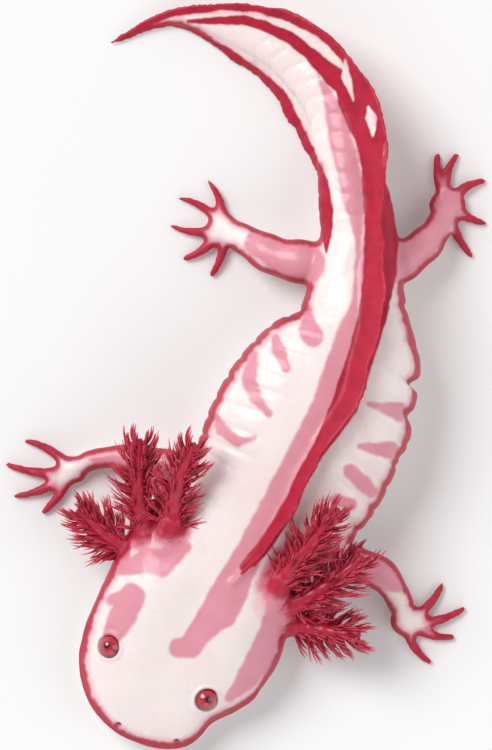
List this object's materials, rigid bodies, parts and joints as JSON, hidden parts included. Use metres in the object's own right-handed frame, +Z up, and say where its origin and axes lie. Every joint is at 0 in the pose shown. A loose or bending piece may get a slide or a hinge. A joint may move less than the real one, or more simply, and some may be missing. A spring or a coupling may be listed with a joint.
{
  "type": "axolotl",
  "caption": "Life-size axolotl lying on its belly: broad flat head, feathery gills spread behind it, splayed toes, low back fin and a long finned tail swept round to its right.",
  "frame": {"origin": "on the floor, under the middle of the outline's box", "axes": "+Z up; the animal faces -Y with its own left side on +X; its tail runs to +Y and sweeps round to -X"},
  "size_m": [0.1312, 0.2028, 0.0353],
  "materials": {
    "skin": "moist satin",
    "fin": "moist satin",
    "gill": "moist satin",
    "eye": "wet gloss"
  },
  "bodies": {
    "root": {"head": "skin", "neck": "skin", "chest": "skin", "belly": "skin", "pelvis": "skin", "tail_1": "skin", "tail_2": "skin", "tail_3": "skin", "tail_4": "skin", "upper_arm_left": "skin", "forearm_left": "skin", "hand_left": "skin", "upper_arm_right": "skin", "forearm_right": "skin", "hand_right": "skin", "thigh_left": "skin", "shank_left": "skin", "foot_left": "skin", "thigh_right": "skin", "shank_right": "skin", "foot_right": "skin", "back_fin_1": "fin", "back_fin_2": "fin", "back_fin_3": "fin", "tail_fin_upper_1": "fin", "tail_fin_upper_2": "fin", "tail_fin_upper_3": "fin", "tail_fin_upper_4": "fin", "tail_fin_lower_1": "fin", "tail_fin_lower_2": "fin", "tail_fin_lower_3": "fin", "tail_fin_lower_4": "fin", "gill_left_front": "gill", "gill_left_middle": "gill", "gill_left_rear": "gill", "gill_right_front": "gill", "gill_right_middle": "gill", "gill_right_rear": "gill", "eye_left": "eye", "eye_right": "eye"}
  },
  "joints": []
}
